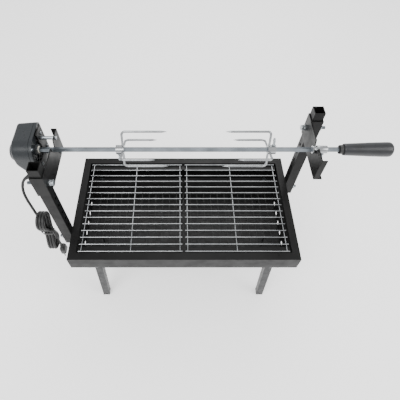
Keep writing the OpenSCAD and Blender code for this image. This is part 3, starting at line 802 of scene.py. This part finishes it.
def motor_shell():
    """The hollow rear shell: rings from the dome's middle, over the edge, to the seam."""
    outline = shell_outline()
    sides, centre = len(outline), Vector(DOME_AT)
    rings = []
    for i in range(1, FACE_RINGS + 1):  # the rear face, from the dome's middle outwards
        ring = []
        for p in outline:
            reach = (p - centre).length
            q = centre + (p - centre) * ((1 - (DRAFT + EDGE_R) / reach) * i / FACE_RINGS)
            ring.append((rear_face(q.x, q.y), q.x, q.y))
        rings.append(ring)
    edge = rings[-1]
    for i in range(1, EDGE_RINGS + 1):  # the rounded edge
        a = math.pi / 2 * i / EDGE_RINGS
        inset = DRAFT + EDGE_R * (1 - math.sin(a))
        ring = []
        for p, (x, _, _) in zip(outline, edge):
            q = drawn_in(p, inset)
            ring.append((x + EDGE_R * (1 - math.cos(a)), q.x, q.y))
        rings.append(ring)
    edge = rings[-1]
    walls = ((0.3, DRAFT * 0.7), (0.6, DRAFT * 0.4), (0.9, DRAFT * 0.1))
    seam_groove = ((0.94, 0.1), (0.95, 0.9), (1, 0.9))
    for share, inset in walls + seam_groove:
        ring = []
        for p, (x, _, _) in zip(outline, edge):
            q = drawn_in(p, inset)
            ring.append((x + (SEAM_X - x) * share, q.x, q.y))
        rings.append(ring)
    points = [at(*p) for ring in rings for p in ring] + [at(DOME_X, *DOME_AT)]
    faces = rings_to_faces(len(rings), sides, False)
    faces += [(k, len(points) - 1, (k + 1) % sides) for k in range(sides)]
    shell = mesh_piece("motor_rear_shell", points, faces, smooth=False)
    work = bmesh.new()
    work.from_mesh(shell.data)
    # An opening behind the switch's flange
    hole = []
    for face in work.faces:
        away = (face.calc_center_median() - at(*SWITCH_AT)) / MM
        if abs(away.y) < SWITCH_HOLE[0] and abs(away.z) < SWITCH_HOLE[1] and away.x < 1:
            hole.append(face)
    bmesh.ops.delete(work, geom=hole, context="FACES")
    # Normals point outwards, so that the wall grows inwards
    furthest = min(work.faces, key=lambda f: f.calc_center_median().x)
    if furthest.normal.x > 0:
        bmesh.ops.reverse_faces(work, faces=work.faces)
    work.to_mesh(shell.data)
    work.free()
    wall = shell.modifiers.new("wall", "SOLIDIFY")
    wall.thickness = WALL_T * MM
    wall.offset = -1
    with bpy.context.temp_override(object=shell, active_object=shell):
        bpy.ops.object.modifier_apply(modifier="wall")
    shade_by_angle(shell.data, 40)
    return shell


housing = motor_shell()
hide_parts("motor_housing")
give_finish(housing, "motor_paint")
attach(housing, "carriage")


# ---- Spit fittings ----

SPIT_TURN = math.radians(72)
OUT = Vector((0, math.cos(SPIT_TURN), math.sin(SPIT_TURN)))  # from the spit towards its screws
ALONG = Vector((1, 0, 0))
WING_OUT = 21.4  # from the spit's middle to a wing's
WING_R = 7


def thumb_screw(name, x, way):
    """Threaded shank, collar and a flat rounded wing, square to the spit at x; way is 1 or -1."""
    axis = OUT * way
    centre = at(x, 0, SPIT_Z)
    third = ALONG.cross(axis)
    shank = turned(name + "_shank", centre + axis * 4.4 * MM, axis,
                   threads(0, 8, 2.5, 0.9, 0.35), 20)
    collar = turned(name + "_collar", centre + axis * 10.6 * MM, axis,
                    [(0, 2.6), (0.2, 3.8), (0.6, 4.2), (1.7, 4.2), (2.1, 3.6), (3.4, 2.4),
                     (4.4, 2.2)], 28)
    # The wing: an oval plate, waisted at the collar, with a rounded rim and a dished middle
    sides, points = 56, []
    profile = [(0, 0.75), (0.55, 0.75), (0.72, 1), (0.86, 1.5), (0.96, 1.35), (1, 0.7)]
    rows = profile + [(share, -thick) for share, thick in reversed(profile)]
    for share, thick in rows:
        for k in range(sides):
            a = 2 * math.pi * k / sides
            reach = WING_R * share * (1 - 0.12 * math.cos(a * 2))
            offset = axis * (WING_OUT + math.sin(a) * reach) + third * (math.cos(a) * reach)
            points.append(centre + (offset + ALONG * thick) * MM)
    wing = mesh_piece(name + "_wing", points, rings_to_faces(len(rows), sides, False))
    work = bmesh.new()
    work.from_mesh(wing.data)
    bmesh.ops.remove_doubles(work, verts=work.verts, dist=1e-6)
    work.to_mesh(wing.data)
    work.free()
    return joined(name, [shank, collar, wing])


for name, x, way, node in (
    ("left_thumb_screw", -150.5, -1, "fork_screw_left"),
    ("right_thumb_screw", 201.5, 1, "fork_screw_right"),
    ("bush_thumb_screw", 316, -1, "bush_screw"),
):
    piece = thumb_screw(name, x, way)
    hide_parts(node)
    give_finish(piece, "zinc")
    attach(piece, node)

# Handle: a tapered grip with a rounded end, and its ferrule
HANDLE_X = (361, 473)
TIP_R = 17
END_R = 9  # of the rounded end
END_STEPS = 8

handle_l = HANDLE_X[1] - HANDLE_X[0]
grip = [(0, 9), (0, 11.6), (0.6, 12.6), (1.8, 13.4), (4, 13.7), (12, 14), (60, 16), (85, 16.7),
        (93, 16.95)]
for i in range(END_STEPS + 1):
    a = math.pi / 2 * i / END_STEPS
    grip.append((handle_l - END_R + END_R * math.sin(a), TIP_R - END_R + END_R * math.cos(a)))
grip += [(handle_l, 4), (handle_l - 0.1, MIN_R)]
handle = turned("tapered_grip", at(HANDLE_X[0], 0, SPIT_Z), (1, 0, 0), grip, 72)
ferrule = turned("grip_ferrule", at(HANDLE_X[0] - 9, 0, SPIT_Z), (1, 0, 0),
                 [(0, 4.2), (0, 9), (0.8, 10.2), (1.6, 10.5), (7, 10.5), (7.4, 9.9),
                  (9.2, 9.9)], 56)
for piece, node, finish in (
    (handle, "handle", "handle_plastic"),
    (ferrule, "handle_ferrule", "black_plastic"),
):
    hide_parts(node)
    give_finish(piece, finish)
    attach(piece, "spit")


# ---- Floor and light ----

FLOOR_HALF = 8  # metres
FLOOR_GLOW = 0.6
WORLD_STRENGTH = 1.3
AIM_Z = 0.35

floor_mesh = bpy.data.meshes.new("floor")
floor_corners = [(x * FLOOR_HALF, y * FLOOR_HALF, 0)
                 for x, y in ((-1, -1), (1, -1), (1, 1), (-1, 1))]
floor_mesh.from_pydata(floor_corners, [], [(0, 1, 2, 3)])
floor = bpy.data.objects.new("floor", floor_mesh)
floor.location.z = cad_box[0][2] - 0.0002
scene.collection.objects.link(floor)
floor_finish = bpy.data.materials.new("pale_floor")
floor_finish.use_nodes = True
floor_inputs = floor_finish.node_tree.nodes["Principled BSDF"].inputs
floor_inputs["Base Color"].default_value = (0.93, 0.93, 0.93, 1)
floor_inputs["Roughness"].default_value = 0.9
floor_inputs["Emission Color"].default_value = (1, 1, 1, 1)
floor_inputs["Emission Strength"].default_value = FLOOR_GLOW
floor_mesh.materials.append(floor_finish)

world = bpy.data.worlds.new("studio")
world.use_nodes = True
background = world.node_tree.nodes["Background"].inputs
background["Color"].default_value = (1, 1, 1, 1)
background["Strength"].default_value = WORLD_STRENGTH
scene.world = world


def soft_light(name, place, target, size, power):
    """A round area light at a place in metres, turned towards its target."""
    data = bpy.data.lights.new(name, "AREA")
    data.shape = "DISK"
    data.size = size
    data.energy = power
    light = bpy.data.objects.new(name, data)
    light.location = place
    light.rotation_euler = (Vector(target) - Vector(place)).to_track_quat("-Z", "Y").to_euler()
    scene.collection.objects.link(light)


aim = (TRAY.x, 0, AIM_Z)
soft_light("key_light", (-0.9, -1.3, 2.1), aim, 1.3, 34)
soft_light("fill_light", (1.5, -0.7, 1.6), aim, 1.2, 16)
soft_light("rim_light", (0.2, 1.6, 1.9), aim, 1.4, 18)
